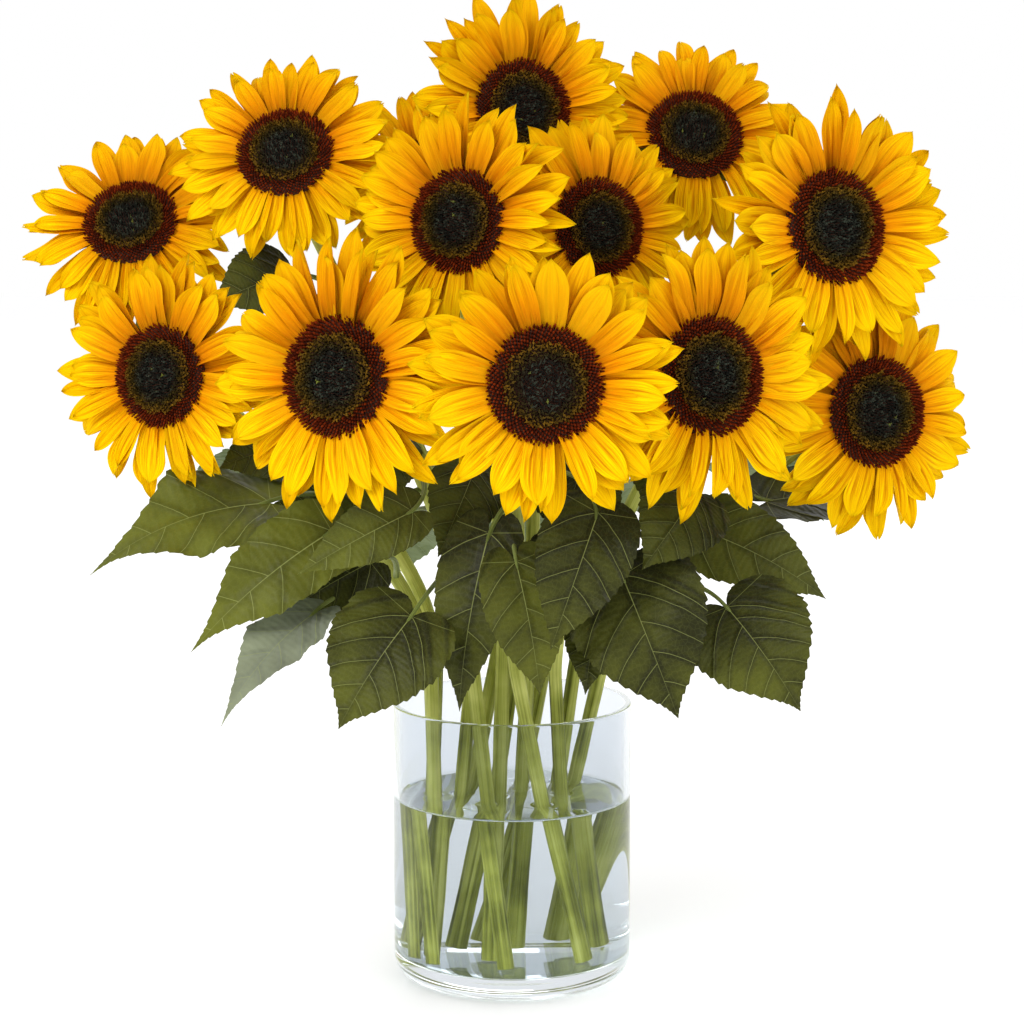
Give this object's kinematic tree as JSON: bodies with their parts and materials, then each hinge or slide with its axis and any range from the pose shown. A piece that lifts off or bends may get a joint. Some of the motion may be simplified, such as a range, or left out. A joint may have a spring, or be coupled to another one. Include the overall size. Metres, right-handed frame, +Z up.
{
  "type": "sunflowers in a vase",
  "caption": "Bunch of cut sunflowers with heart-shaped leaves, standing in water in a clear glass cylinder vase.",
  "frame": {"origin": "centre of the vase's flat foot, on the surface it stands on", "axes": "+Z up along the vase's axis; -Y is the front, the way the sunflowers face; +X to the right seen from the front"},
  "size_m": [0.6527, 0.3871, 0.6549],
  "materials": {
    "vase_glass": "clear glass, polished",
    "vase_water": "clear still water",
    "stem_and_leaf": "living green, satin leaves and hairy stems",
    "ray_petals": "golden yellow petals, satin",
    "disc_florets": "dark brown florets, matt"
  },
  "bodies": {
    "root": {"vase": "vase_glass", "water": "vase_water", "leafy_stem_01": "stem_and_leaf", "leafy_stem_02": "stem_and_leaf", "leafy_stem_03": "stem_and_leaf", "leafy_stem_04": "stem_and_leaf", "leafy_stem_05": "stem_and_leaf", "leafy_stem_06": "stem_and_leaf", "leafy_stem_07": "stem_and_leaf", "leafy_stem_08": "stem_and_leaf", "leafy_stem_09": "stem_and_leaf", "leafy_stem_10": "stem_and_leaf", "leafy_stem_11": "stem_and_leaf", "leafy_stem_12": "stem_and_leaf", "leafy_stem_13": "stem_and_leaf", "rays_01": "ray_petals", "rays_02": "ray_petals", "rays_03": "ray_petals", "rays_04": "ray_petals", "rays_05": "ray_petals", "rays_06": "ray_petals", "rays_07": "ray_petals", "rays_08": "ray_petals", "rays_09": "ray_petals", "rays_10": "ray_petals", "rays_11": "ray_petals", "rays_12": "ray_petals", "rays_13": "ray_petals", "disc_01": "disc_florets", "disc_02": "disc_florets", "disc_03": "disc_florets", "disc_04": "disc_florets", "disc_05": "disc_florets", "disc_06": "disc_florets", "disc_07": "disc_florets", "disc_08": "disc_florets", "disc_09": "disc_florets", "disc_10": "disc_florets", "disc_11": "disc_florets", "disc_12": "disc_florets", "disc_13": "disc_florets"}
  },
  "joints": []
}
